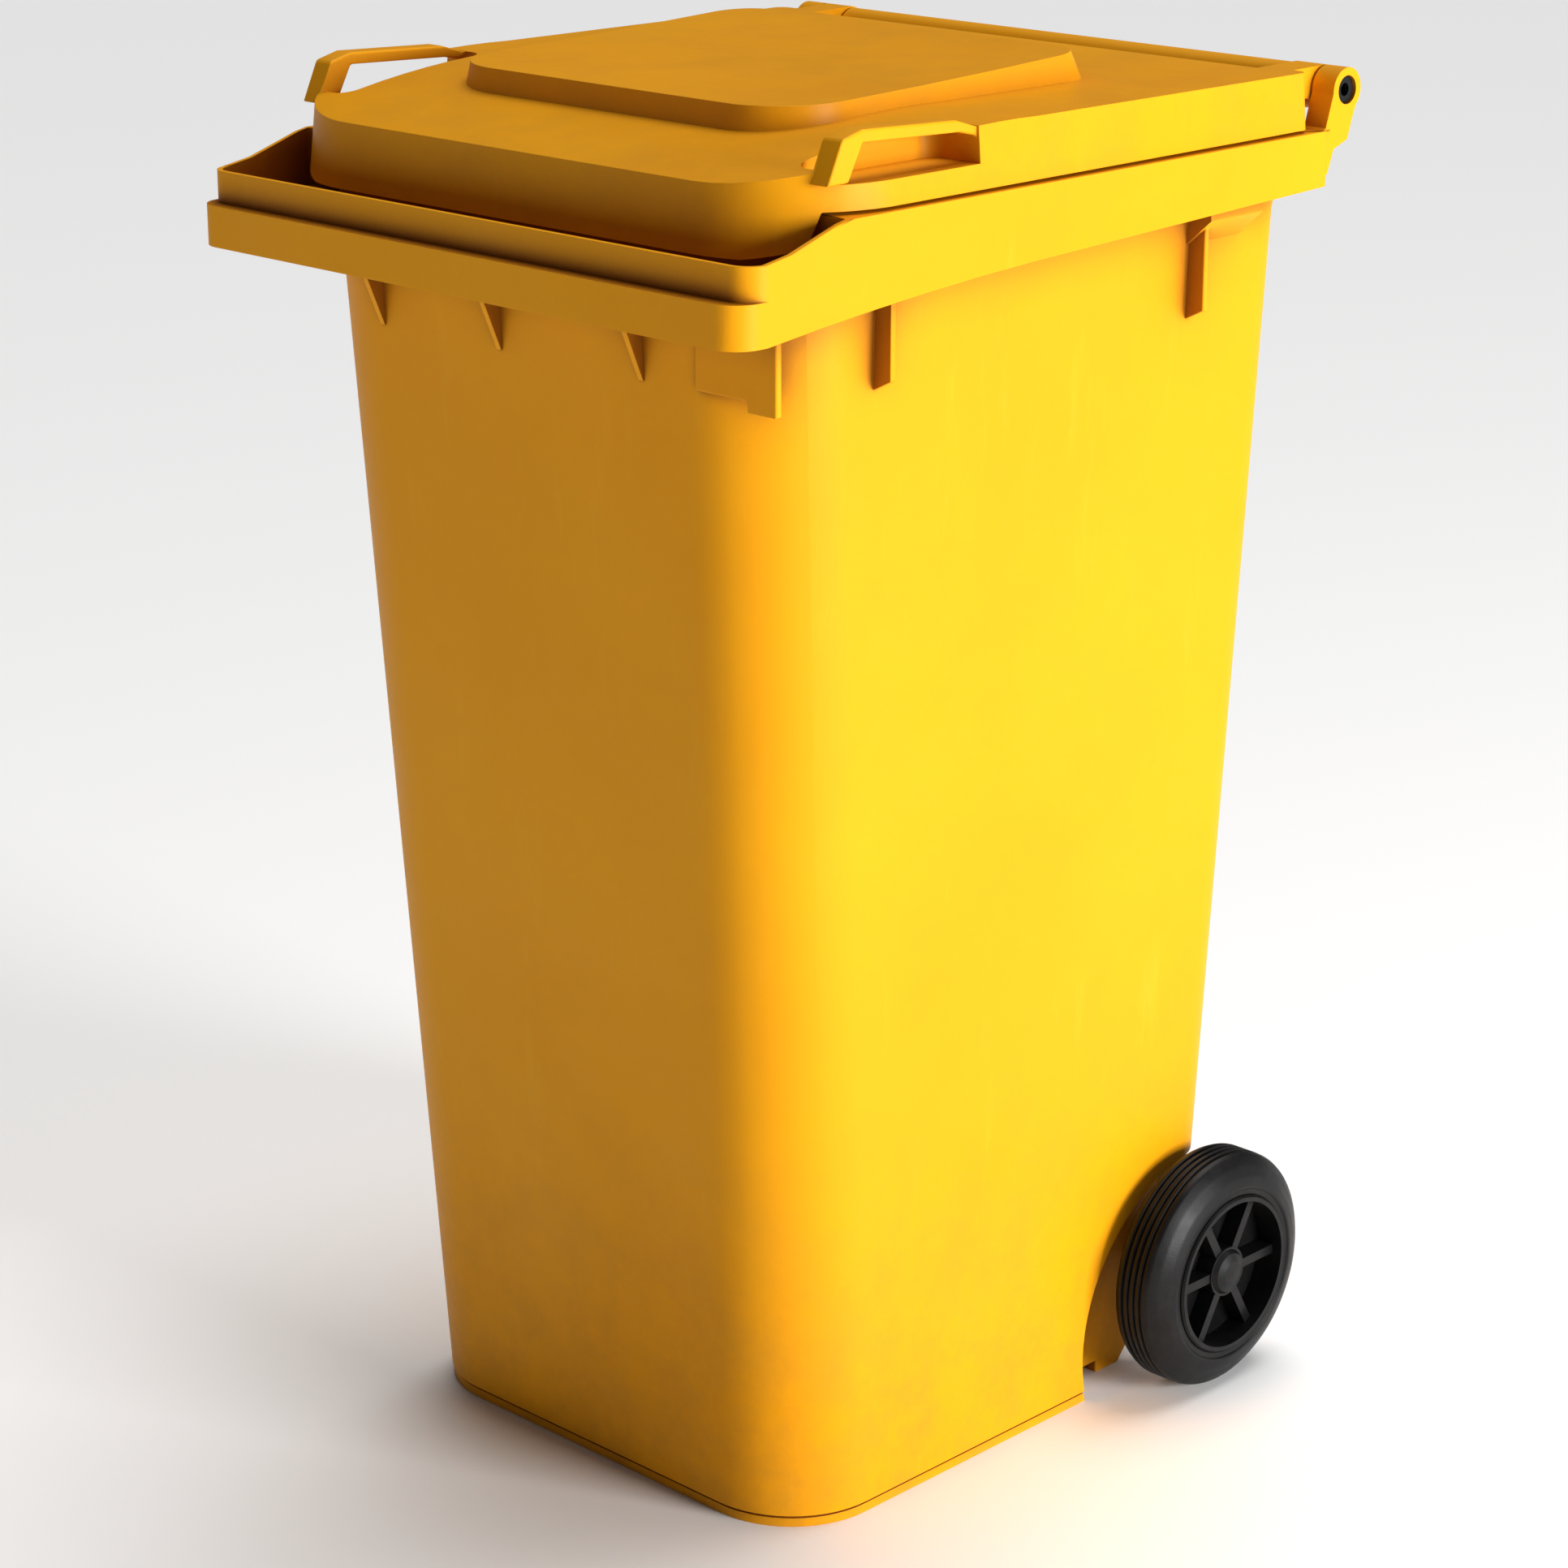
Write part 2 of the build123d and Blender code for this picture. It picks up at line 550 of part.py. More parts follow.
def finger_pocket(grow):
    """Right-hand space below a loop handle, open to the top and to the side."""
    length = POCKET_END_Y - POCKET_START_Y + 2 * grow
    outline = Rectangle(2 * (LID_HALF_X + 30.0 - POCKET_INNER_X + grow), length)
    outline = fillet(outline.vertices(), POCKET_R + grow)
    centre_y = (POCKET_START_Y + POCKET_END_Y) / 2
    floor_z = POCKET_FLOOR_Z - grow
    return Pos(LID_HALF_X + 30.0, centre_y, floor_z) * extrude(outline, 80.0)


def loop_handle():
    """Right-hand loop handle bridging the finger pocket."""
    start = POCKET_START_Y - 8.0
    end = POCKET_END_Y + 8.0
    low_z = LID_FRONT_TOP_Z + 2.0
    outer = Polyline((0, start, low_z), (0, start + 14.0, LOOP_TOP_Z - 5.0), (0, start + 34.0, LOOP_TOP_Z),
                     (0, end - 30.0, LOOP_TOP_Z - 4.0), (0, end, LID_TOP_Z - 3.0), (0, end, LID_TOP_Z - 9.0),
                     (0, end - 26.0, LOOP_TOP_Z - 4.0 - LOOP_T), (0, start + 34.0, LOOP_TOP_Z - LOOP_T),
                     (0, start + 20.0, low_z), close=True)
    return Pos(LOOP_INNER_X, 0, 0) * extrude(make_face(outer), LOOP_OUTER_X - LOOP_INNER_X, dir=(1, 0, 0))


def lid_ear():
    """Right-hand arm that wraps the hinge pin between lug and handle bar."""
    arm = side_profile([
        (LID_MID_REAR_Y - 24.0, LID_TOP_Z - 9.0),
        (LID_MID_REAR_Y - 24.0, LID_TOP_Z - 2.0),
        (HINGE_Y - 2.0, HINGE_Z + HINGE_R - 0.2),
        (HINGE_Y + 2.0, HINGE_Z),
        (HINGE_Y - 13.0, HINGE_Z - 8.0),
        (LID_REAR_Y - 4.0, HINGE_Z - 4.0),
    ], EAR_INNER_X, EAR_OUTER_X)
    return arm + rod(HINGE_R, EAR_INNER_X, EAR_OUTER_X, HINGE_Y, HINGE_Z)


def lid():
    """The whole lid moulding."""
    outer = lid_form(0.0)
    inner = lid_form(SKIN)
    shell = outer + panel_form(0.0)
    shell -= inner
    shell -= panel_form(SKIN)
    for pocket in both_sides(finger_pocket(SKIN)):
        shell += pocket & outer
    for pocket in both_sides(finger_pocket(0.0)):
        shell -= pocket
    shell -= lid_lower_edge()
    shell -= block(-EAR_INNER_X - 1.0, EAR_INNER_X + 1.0, LID_MID_REAR_Y, LID_REAR_Y + 10.0,
                   LID_CUT_LOW_Z, LID_CUT_HIGH_Z)
    lip_low_z = HINGE_Z + 3.0
    shell -= block(-EAR_INNER_X, EAR_INNER_X, LID_MID_REAR_Y - LID_LIP_T, LID_REAR_Y + 10.0,
                   LID_CUT_LOW_Z, lip_low_z)
    shell += block(-EAR_INNER_X - 2.0, EAR_INNER_X + 2.0, LID_MID_REAR_Y - SKIN, LID_MID_REAR_Y,
                   lip_low_z, LID_TOP_Z - 2.0)
    for piece in both_sides(loop_handle()) + both_sides(lid_ear()):
        shell += piece
    shell -= rod(EAR_BORE_R, -RIM_HALF_X, RIM_HALF_X, HINGE_Y, HINGE_Z)
    return shell


def hinge_pin():
    """Right-hand hinge pin with a rounded outer end and a tapered tip."""
    inner_x = BAR_HALF_X - PIN_INSERTION
    outer_x = LUG_OUTER_X - PIN_SINK
    pin = rod(PIN_R, inner_x, outer_x, HINGE_Y, HINGE_Z)
    pin = chamfer(pin.edges().group_by(Axis.X)[0], 3.0)
    pin = fillet(pin.edges().group_by(Axis.X)[-1], 1.5)
    pin -= rod(PIN_HOLE_R, outer_x - PIN_HOLE_DEPTH, outer_x + 1.0, HINGE_Y, HINGE_Z)
    return pin


def axle():
    """Solid axle with a locking groove near each end."""
    shaft = rod(AXLE_R, -AXLE_HALF_L, AXLE_HALF_L, AXLE_Y, AXLE_Z)
    shaft = chamfer(shaft.edges().group_by(Axis.X)[0], 2.0)
    shaft = chamfer(shaft.edges().group_by(Axis.X)[-1], 2.0)
    groove = rod(AXLE_R + 1.0, LOCK_X - AXLE_GROOVE_W / 2, LOCK_X + AXLE_GROOVE_W / 2, AXLE_Y, AXLE_Z)
    groove -= rod(AXLE_R - AXLE_GROOVE_DEPTH, LOCK_X - AXLE_GROOVE_W, LOCK_X + AXLE_GROOVE_W, AXLE_Y, AXLE_Z)
    for ring in both_sides(groove):
        shaft -= ring
    return shaft


def ring_of(points):
    """Body of revolution about the axle line from (x, radius) points, in place on the right-hand side."""
    outline = Polyline(*[(x, 0, r) for x, r in points], close=True)
    solid = revolve(make_face(outline), Axis.X)
    return Pos(0, AXLE_Y, AXLE_Z) * solid


def tyre():
    """Right-hand solid rubber tyre with tread grooves and a sloping outer sidewall."""
    tread_x = (TYRE_INNER_X + 5.0, TYRE_OUTER_X - 15.0)
    body = ring_of([
        (TYRE_INNER_X + 3.0, BEAD_R),
        (TYRE_INNER_X, BEAD_R + 6.0),
        (TYRE_INNER_X + 1.0, TYRE_R - 8.0),
        (tread_x[0], TYRE_R - 1.0),
        (tread_x[0] + 5.0, TYRE_R),
        (tread_x[1] - 5.0, TYRE_R),
        (tread_x[1], TYRE_R - 1.5),
        (TYRE_OUTER_X - 8.0, TYRE_R - 8.0),
        (TYRE_OUTER_X - 3.0, TYRE_R - 17.0),
        (TYRE_OUTER_X - 0.6, TYRE_R - 26.0),
        (TYRE_OUTER_X - 2.0, BEAD_R),
    ])
    low = TREAD_GROOVE_LOW_W / 2
    high = TREAD_GROOVE_HIGH_W / 2
    for offset in TREAD_GROOVES_X:
        x = TYRE_INNER_X + offset
        body -= ring_of([
            (x - low, TYRE_R - TREAD_GROOVE_DEPTH),
            (x - high, TYRE_R + 2.0),
            (x + high, TYRE_R + 2.0),
            (x + low, TYRE_R - TREAD_GROOVE_DEPTH),
        ])
    return body


def wheel_centre():
    """Right-hand spoked wheel centre with its hub, lock boss and bores."""
    body = ring_of([
        (TYRE_INNER_X + 4.0, BEAD_R - RIM_WALL),
        (TYRE_INNER_X + 4.0, BEAD_R - EPS_GAP),
        (TYRE_OUTER_X - 2.5, BEAD_R - EPS_GAP),
        (TYRE_OUTER_X - 0.5, BEAD_R - 1.5),
        (TYRE_OUTER_X - 0.5, BEAD_R - RIM_WALL),
    ])
    body += ring_of([(HUB_INNER_X, 0.0), (HUB_INNER_X, HUB_R), (HUB_OUTER_X, HUB_R), (HUB_OUTER_X, 0.0)])
    body += ring_of([
        (WEB_X - WEB_T, 0.0),
        (WEB_X - WEB_T, BEAD_R - RIM_WALL + 1.0),
        (WEB_X, BEAD_R - RIM_WALL + 1.0),
        (WEB_X, 0.0),
    ])
    for index in range(SPOKES):
        angle = 360.0 / SPOKES * index + 30.0
        spoke = block(WEB_X - 10.0, HUB_OUTER_X - 1.0, -SPOKE_W / 2, SPOKE_W / 2,
                      HUB_R - 4.0, BEAD_R - RIM_WALL + 1.0)
        body += Pos(0, AXLE_Y, AXLE_Z) * Rot(angle, 0, 0) * spoke
    body += Pos(LOCK_X, AXLE_Y, AXLE_Z + LOCK_BOSS_TOP / 2) * Cylinder(LOCK_BOSS_R, LOCK_BOSS_TOP)
    body -= rod(BUSH_R, HUB_INNER_X - 1.0, BUSH_OUTER_X, AXLE_Y, AXLE_Z)
    body -= rod(HUB_BORE_R, HUB_INNER_X - 1.0, HUB_OUTER_X + 1.0, AXLE_Y, AXLE_Z)
    body -= Pos(LOCK_X, AXLE_Y, AXLE_Z + LOCK_POCKET_TOP / 2) * Cylinder(LOCK_BORE_R, LOCK_POCKET_TOP)
    return body


def hub_bush():
    """Right-hand plain bearing pressed into the hub."""
    bush = rod(BUSH_R - EPS_GAP, HUB_INNER_X, BUSH_OUTER_X - 0.1, AXLE_Y, AXLE_Z)
    return bush - rod(BUSH_BORE_R, HUB_INNER_X - 1.0, BUSH_OUTER_X + 1.0, AXLE_Y, AXLE_Z)


def thrust_washer():
    """Right-hand washer between the axle support and the hub."""
    inner_x = HUB_SEAT_X + WASHER_PLAY
    washer = rod(WASHER_R, inner_x, inner_x + WASHER_T, AXLE_Y, AXLE_Z)
    return washer - rod(BUSH_BORE_R, inner_x - 1.0, inner_x + WASHER_T + 1.0, AXLE_Y, AXLE_Z)


def lock_pin():
    """Right-hand sprung pin whose tip drops into the axle groove."""
    base = Pos(LOCK_X, AXLE_Y, AXLE_Z)
    tip_length = LOCK_SHOULDER - LOCK_TIP_BOTTOM + 1.0
    tip = Pos(0, 0, LOCK_TIP_BOTTOM + tip_length / 2) * Cylinder(LOCK_TIP_R, tip_length)
    body_length = LOCK_BODY_TOP - LOCK_SHOULDER
    head = Pos(0, 0, LOCK_SHOULDER + body_length / 2) * Cylinder(LOCK_BODY_R, body_length)
    return base * (tip + head)


def lock_spring():
    """Right-hand coil spring above the lock pin."""
    low_z = LOCK_BODY_TOP + SPRING_WIRE_R + 0.05
    height = LOCK_POCKET_TOP - LOCK_BODY_TOP - 2 * SPRING_WIRE_R - 0.1
    path = Helix(height / SPRING_TURNS, height, SPRING_R)
    section = Plane(origin=path @ 0, z_dir=path % 0) * Circle(SPRING_WIRE_R)
    coil = sweep(section, path=path, is_frenet=True)
    return Pos(LOCK_X, AXLE_Y, AXLE_Z + low_z) * coil


def hub_cap():
    """Right-hand domed cap over the hub's outer end."""
    return ring_of([
        (AXLE_HALF_L + 0.5, 0.0),
        (AXLE_HALF_L + 0.5, CAP_PLUG_R - 2.0),
        (HUB_OUTER_X + 0.1, CAP_PLUG_R + 0.5),
        (HUB_OUTER_X + 0.1, CAP_R),
        (HUB_OUTER_X + CAP_T, CAP_R - 2.5),
        (HUB_OUTER_X + CAP_T + 2.4, CAP_R - 9.0),
        (HUB_OUTER_X + CAP_T + 3.2, 0.0),
    ])


def save(name, shape):
    """Write one node as a STEP file."""
    export_step(shape, os.path.join("parts", name + ".step"))


save("container", container())
save("lid", lid())
save("axle", axle())

PAIRED = {
    "hinge_pin": hinge_pin(),
    "tyre": tyre(),
    "wheel_centre": wheel_centre(),
    "hub_bush": hub_bush(),
    "thrust_washer": thrust_washer(),
    "lock_pin": lock_pin(),
    "lock_spring": lock_spring(),
    "hub_cap": hub_cap(),
}
for name, right in PAIRED.items():
    save(name + "_right", right)
    save(name + "_left", mirror(right, Plane.YZ))
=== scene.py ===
"""Looks of a yellow two-wheeled wheelie bin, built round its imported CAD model.

Metres, +Z up. The bin's front (the comb) faces -Y, its wheels are at +Y.
"""
import json
import math

import bmesh
import bpy
from mathutils import Matrix, Vector


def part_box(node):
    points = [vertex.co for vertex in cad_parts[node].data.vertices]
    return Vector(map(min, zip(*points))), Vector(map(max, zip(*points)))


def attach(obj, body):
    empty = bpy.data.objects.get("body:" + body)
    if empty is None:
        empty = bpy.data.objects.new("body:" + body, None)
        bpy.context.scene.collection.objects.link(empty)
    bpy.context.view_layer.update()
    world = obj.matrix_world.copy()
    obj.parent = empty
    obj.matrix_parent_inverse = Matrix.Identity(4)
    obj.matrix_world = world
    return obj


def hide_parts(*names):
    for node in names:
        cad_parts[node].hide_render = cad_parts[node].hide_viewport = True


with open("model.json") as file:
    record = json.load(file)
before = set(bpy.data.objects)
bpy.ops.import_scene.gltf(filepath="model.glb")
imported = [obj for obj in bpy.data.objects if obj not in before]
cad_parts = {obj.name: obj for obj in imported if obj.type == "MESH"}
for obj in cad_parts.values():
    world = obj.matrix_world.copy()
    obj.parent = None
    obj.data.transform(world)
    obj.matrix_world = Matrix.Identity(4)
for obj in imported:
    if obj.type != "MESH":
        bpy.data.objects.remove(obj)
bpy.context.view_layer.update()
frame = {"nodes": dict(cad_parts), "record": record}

MM = 0.001

# ---------------------------------------------------------------- studio
CAMERA_AZIMUTH = math.radians(44.258)
CAMERA_ELEVATION = math.radians(18.152)
CAMERA_PLACE = Vector((2.1167, -2.1722, 1.5059))
CAMERA_LENS = 92.284
SENSOR_WIDTH = 36
KEY_PLACE = (5.2, 0.9, 1.30)
KEY_AIM = (0, 0, 0.55)
KEY_SIZE = 2.0
KEY_POWER = 370
SKY_PLACE = (-0.3, 1.6, 5)
SKY_STRENGTH = 2.35
SKY_ANGLE = math.radians(45)
BACKDROP_COLOUR = (0.95, 0.97, 1, 1)
BACKDROP_STRENGTH = 0.07
FLOOR_COLOUR = (0.97, 0.97, 0.965, 1)
FLOOR_ROUGHNESS = 0.9
FLOOR_SPECULAR = 0.1
FLOOR_HALF = 40


def add_camera():
    """The camera stands in front of the bin, to its right and above it."""
    back = Vector((
        math.sin(CAMERA_AZIMUTH) * math.cos(CAMERA_ELEVATION),
        -math.cos(CAMERA_AZIMUTH) * math.cos(CAMERA_ELEVATION),
        math.sin(CAMERA_ELEVATION),
    ))
    data = bpy.data.cameras.new("camera")
    data.lens = CAMERA_LENS
    data.sensor_width = SENSOR_WIDTH
    camera = bpy.data.objects.new("camera", data)
    camera.location = CAMERA_PLACE
    camera.rotation_euler = (-back).to_track_quat("-Z", "Y").to_euler()
    bpy.context.scene.collection.objects.link(camera)
    bpy.context.scene.camera = camera


def add_lamp(data, place, aim):
    """Hang a lamp at a place, turned towards a point."""
    lamp = bpy.data.objects.new(data.name, data)
    lamp.location = place
    lamp.rotation_euler = (Vector(aim) - Vector(place)).to_track_quat("-Z", "Y").to_euler()
    bpy.context.scene.collection.objects.link(lamp)


def add_area_light(name, place, aim, size, power):
    """A square soft box."""
    data = bpy.data.lights.new(name, "AREA")
    data.shape = "SQUARE"
    data.size = size
    data.energy = power
    add_lamp(data, place, aim)


def add_wide_sky_light(name, place, strength, angle):
    """A broad, even light, the same everywhere on the floor."""
    data = bpy.data.lights.new(name, "SUN")
    data.energy = strength
    data.angle = angle
    add_lamp(data, place, (0, 0, 0))


# ---------------------------------------------------------------- node helpers
def new_material(name):
    """A node material with its principled shader, as (material, tree, shader)."""
    material = bpy.data.materials.new(name)
    material.use_nodes = True
    tree = material.node_tree
    return material, tree, tree.nodes["Principled BSDF"]


def noise(tree, scale, detail=3.0, roughness=0.55, stretch=(1, 1, 1)):
    """Noise over the piece's own coordinates, optionally stretched."""
    place = tree.nodes.new("ShaderNodeTexCoord")
    mapping = tree.nodes.new("ShaderNodeMapping")
    mapping.inputs["Scale"].default_value = stretch
    texture = tree.nodes.new("ShaderNodeTexNoise")
    texture.inputs["Scale"].default_value = scale
    texture.inputs["Detail"].default_value = detail
    texture.inputs["Roughness"].default_value = roughness
    tree.links.new(place.outputs["Object"], mapping.inputs["Vector"])
    tree.links.new(mapping.outputs["Vector"], texture.inputs["Vector"])
    return texture.outputs["Fac"]


def remap(tree, value, low, high, to_low=0.0, to_high=1.0):
    """Clamped linear remap of a value."""
    node = tree.nodes.new("ShaderNodeMapRange")
    node.inputs["From Min"].default_value = low
    node.inputs["From Max"].default_value = high
    node.inputs["To Min"].default_value = to_low
    node.inputs["To Max"].default_value = to_high
    tree.links.new(value, node.inputs["Value"])
    return node.outputs["Result"]


def times(tree, first, second):
    """The product of two values."""
    node = tree.nodes.new("ShaderNodeMath")
    node.operation = "MULTIPLY"
    tree.links.new(first, node.inputs[0])
    tree.links.new(second, node.inputs[1])
    return node.outputs[0]


def blend_colour(tree, amount, first, second):
    """Mix two colours; first and second are plain colours or sockets."""
    node = tree.nodes.new("ShaderNodeMix")
    node.data_type = "RGBA"
    tree.links.new(amount, node.inputs["Factor"])
    for socket, colour in ((node.inputs[6], first), (node.inputs[7], second)):
        if isinstance(colour, tuple):
            socket.default_value = (*colour, 1)
        else:
            tree.links.new(colour, socket)
    return node.outputs[2]


def bump(tree, height, strength, distance, under=None):
    """A bumpy surface normal, laid over another normal if one is given."""
    node = tree.nodes.new("ShaderNodeBump")
    node.inputs["Strength"].default_value = strength
    node.inputs["Distance"].default_value = distance
    tree.links.new(height, node.inputs["Height"])
    if under is not None:
        tree.links.new(under, node.inputs["Normal"])
    return node.outputs["Normal"]


def height_above_floor(tree):
    """Height of the surface point in the piece's own coordinates, which at rest is its height."""
    place = tree.nodes.new("ShaderNodeTexCoord")
    split = tree.nodes.new("ShaderNodeSeparateXYZ")
    tree.links.new(place.outputs["Object"], split.inputs["Vector"])
    return split.outputs["Z"]


def painted_shade_mask(tree, reach, open_at, closed_at, most):
    """How far its own piece shuts a point in, within reach: 0 in the open, most deep in a corner; the mask
    for painted shade in corners, creases and under overhangs.
    """
    node = tree.nodes.new("ShaderNodeAmbientOcclusion")
    node.samples = PAINTED_SHADE_SAMPLES
    node.only_local = True
    node.inputs["Distance"].default_value = reach
    return remap(tree, node.outputs["AO"], closed_at, open_at, most, 0.0)


# ---------------------------------------------------------------- materials
# Painted shade: the dark brown laid into corners, creases and the wall under the rim, deeper where the piece
# hems a point in.
PAINTED_SHADE_COLOUR = (0.28, 0.085, 0.006)
PAINTED_SHADE_REACH = 60 * MM
PAINTED_SHADE_SAMPLES = 6
MOULDING_SPECULAR = 0.10
HARD_SPECULAR = 0.18


def moulded_plastic(name, base, shade, pale, dirt, rough, dirt_height, dirt_amount, scuff_amount,
                    painted_shade_amount):
    """Moulded polyethylene: colour drift, grain, pale scuffs, dirt near the floor, painted shade in corners
    and under the rim.
    """
    material, tree, shader = new_material(name)
    drift = remap(tree, noise(tree, scale=2.6, detail=4.0), 0.35, 0.68)
    colour = blend_colour(tree, drift, base, shade)
    upright_streaks = noise(tree, scale=11.0, detail=6.0, roughness=0.7, stretch=(3.2, 3.2, 0.45))
    scuffs = remap(tree, upright_streaks, 0.60, 0.74, 0.0, scuff_amount)
    colour = blend_colour(tree, scuffs, colour, pale)
    low_down = remap(tree, height_above_floor(tree), 0.0, dirt_height, dirt_amount, 0.02)
    patches = remap(tree, noise(tree, scale=17.0, detail=7.0, roughness=0.68), 0.40, 0.70)
    soiling = times(tree, low_down, patches)
    colour = blend_colour(tree, soiling, colour, dirt)
    # Painted shade: corners, creases and the wall under the rim darkened towards dark brown, by ambient
    # occlusion of the piece itself.
    painted_shade = painted_shade_mask(tree, PAINTED_SHADE_REACH, open_at=0.92, closed_at=0.66, most=painted_shade_amount)
    colour = blend_colour(tree, painted_shade, colour, PAINTED_SHADE_COLOUR)
    tree.links.new(colour, shader.inputs["Base Color"])
    worn = noise(tree, scale=6.0, detail=5.0, roughness=0.6)
    tree.links.new(remap(tree, worn, 0.3, 0.7, rough - 0.05, rough + 0.09), shader.inputs["Roughness"])
    waves = bump(tree, noise(tree, scale=7.0, detail=2.0), strength=0.10, distance=3.5 * MM)
    pits = noise(tree, scale=820.0, detail=2.0, roughness=0.5)
    grain = bump(tree, pits, strength=0.16, distance=0.35 * MM, under=waves)
    tree.links.new(grain, shader.inputs["Normal"])
    shader.inputs["Specular IOR Level"].default_value = MOULDING_SPECULAR
    return material


def hard_material(name, base, pale, rough, grain_scale, grain_strength, dust_amount):
    """Rubber or hard plastic with fine grain and patches of dust."""
    material, tree, shader = new_material(name)
    dust = remap(tree, noise(tree, scale=34.0, detail=7.0, roughness=0.7), 0.46, 0.72, 0.0, dust_amount)
    tree.links.new(blend_colour(tree, dust, base, pale), shader.inputs["Base Color"])
    spread = remap(tree, noise(tree, scale=22.0, detail=5.0), 0.3, 0.7, rough - 0.07, rough + 0.12)
    tree.links.new(spread, shader.inputs["Roughness"])
    specks = noise(tree, scale=grain_scale, detail=3.0)
    grain = bump(tree, specks, strength=grain_strength, distance=0.4 * MM)
    tree.links.new(grain, shader.inputs["Normal"])
    shader.inputs["Specular IOR Level"].default_value = HARD_SPECULAR
    return material


def steel(name, base, dull, rough):
    """Zinc-plated steel with dull patches and fine drawn lines along X."""
    material, tree, shader = new_material(name)
    patches = remap(tree, noise(tree, scale=40.0, detail=6.0), 0.42, 0.66)
    tree.links.new(blend_colour(tree, patches, base, dull), shader.inputs["Base Color"])
    lines = noise(tree, scale=260.0, detail=2.0, roughness=0.5, stretch=(0.05, 1, 1))
    tree.links.new(remap(tree, lines, 0.3, 0.7, rough - 0.06, rough + 0.12), shader.inputs["Roughness"])
    tree.links.new(bump(tree, lines, strength=0.12, distance=0.2 * MM), shader.inputs["Normal"])
    shader.inputs["Metallic"].default_value = 1.0
    return material


YELLOW = (0.88, 0.375, 0.004)
SHADE = (0.84, 0.335, 0.003)
PALE = (0.92, 0.48, 0.030)
DIRT = (0.17, 0.105, 0.045)
DUST = (0.035, 0.034, 0.032)
RUBBER_DUST = (0.030, 0.028, 0.025)

MATERIALS = {
    # The moulded plastics' last amount sets how deep their painted shade in corners and under the rim goes.
    "yellow_hdpe": moulded_plastic(
        "yellow_hdpe", YELLOW, SHADE, PALE, DIRT, rough=0.46, dirt_height=0.34, dirt_amount=0.24,
        scuff_amount=0.24, painted_shade_amount=0.95),
    "yellow_lid": moulded_plastic(
        "yellow_lid", YELLOW, SHADE, PALE, DIRT, rough=0.42, dirt_height=2.4, dirt_amount=0.16,
        scuff_amount=0.22, painted_shade_amount=0.30),
    "black_rubber": hard_material(
        "black_rubber", (0.0035, 0.0035, 0.004), RUBBER_DUST, rough=0.40, grain_scale=520.0,
        grain_strength=0.20, dust_amount=0.20),
    "black_plastic": hard_material(
        "black_plastic", (0.004, 0.004, 0.0045), DUST, rough=0.36, grain_scale=700.0,
        grain_strength=0.14, dust_amount=0.16),
    "cap_plastic": hard_material(
        "cap_plastic", (0.005, 0.005, 0.0055), DUST, rough=0.36, grain_scale=700.0,
        grain_strength=0.12, dust_amount=0.16),
    "black_pin": hard_material(
        "black_pin", (0.005, 0.005, 0.0055), DUST, rough=0.46, grain_scale=650.0,
        grain_strength=0.18, dust_amount=0.16),
    "white_nylon": hard_material(
        "white_nylon", (0.70, 0.69, 0.65), (0.52, 0.50, 0.45), rough=0.45, grain_scale=500.0,
        grain_strength=0.12, dust_amount=0.40),
    "red_pin": hard_material(
        "red_pin", (0.35, 0.02, 0.015), (0.25, 0.03, 0.02), rough=0.42, grain_scale=500.0,
        grain_strength=0.12, dust_amount=0.30),
    "zinc_steel": steel("zinc_steel", base=(0.55, 0.56, 0.58), dull=(0.40, 0.40, 0.41), rough=0.34),
    "washer_steel": steel("washer_steel", base=(0.50, 0.50, 0.52), dull=(0.37, 0.37, 0.38), rough=0.36),
    "spring_steel": steel("spring_steel", base=(0.42, 0.42, 0.44), dull=(0.32, 0.32, 0.33), rough=0.32),
}


# ---------------------------------------------------------------- pieces
SLIDE_SHARE = 0.4
SHARP_ANGLE = math.radians(28)
WELD_DISTANCE = 2e-6
CONTAINER_ROUNDING = 3.2 * MM
LID_ROUNDING = 2.2 * MM
WHEEL_ROUNDING = 1.2 * MM
RIM_LIP_LOW = 0.945
RIM_LIP_HIGH = 0.992
RIM_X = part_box("container")[1].x
OUTER_LIP_REACH = 0.5 * MM
INNER_LIP_REACH = 6 * MM
OUTER_LIP_SHARE = 1.0
INNER_LIP_SHARE = 0.2
BODY_SHARE = 0.5

replaced = set()


def add_piece(name, mesh, node, body, slot):
    """Show a mesh in place of a CAD node, riding on its body."""
    mesh.materials.clear()
    mesh.materials.append(MATERIALS[slot])
    piece = bpy.data.objects.new(name, mesh)
    bpy.context.scene.collection.objects.link(piece)
    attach(piece, body)
    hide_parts(node)
    replaced.add(node)
    return piece


def safe_width(edge):
    """Widest rounding that slides less than a share of the way along every edge next to this one."""
    safe = 1.0
    for vert in edge.verts:
        along = (edge.other_vert(vert).co - vert.co).normalized()
        for near in vert.link_edges:
            if near is edge:
                continue
            away = near.other_vert(vert).co - vert.co
            safe = min(safe, SLIDE_SHARE * away.cross(along).length)
    return min(safe, SLIDE_SHARE * edge.calc_length())


def rim_share(edge):
    """Share of the full rounding for a container edge: all outside the rim's lower lip, little inside."""
    reach = min(abs(vert.co.x) for vert in edge.verts)
    low, high = sorted(vert.co.z for vert in edge.verts)
    if low < RIM_LIP_LOW or high > RIM_LIP_HIGH:
        return BODY_SHARE
    if reach > RIM_X - OUTER_LIP_REACH:
        return OUTER_LIP_SHARE
    return INNER_LIP_SHARE if reach > RIM_X - INNER_LIP_REACH else BODY_SHARE


def even_share(edge):
    """Every edge takes the full rounding."""
    return 1.0


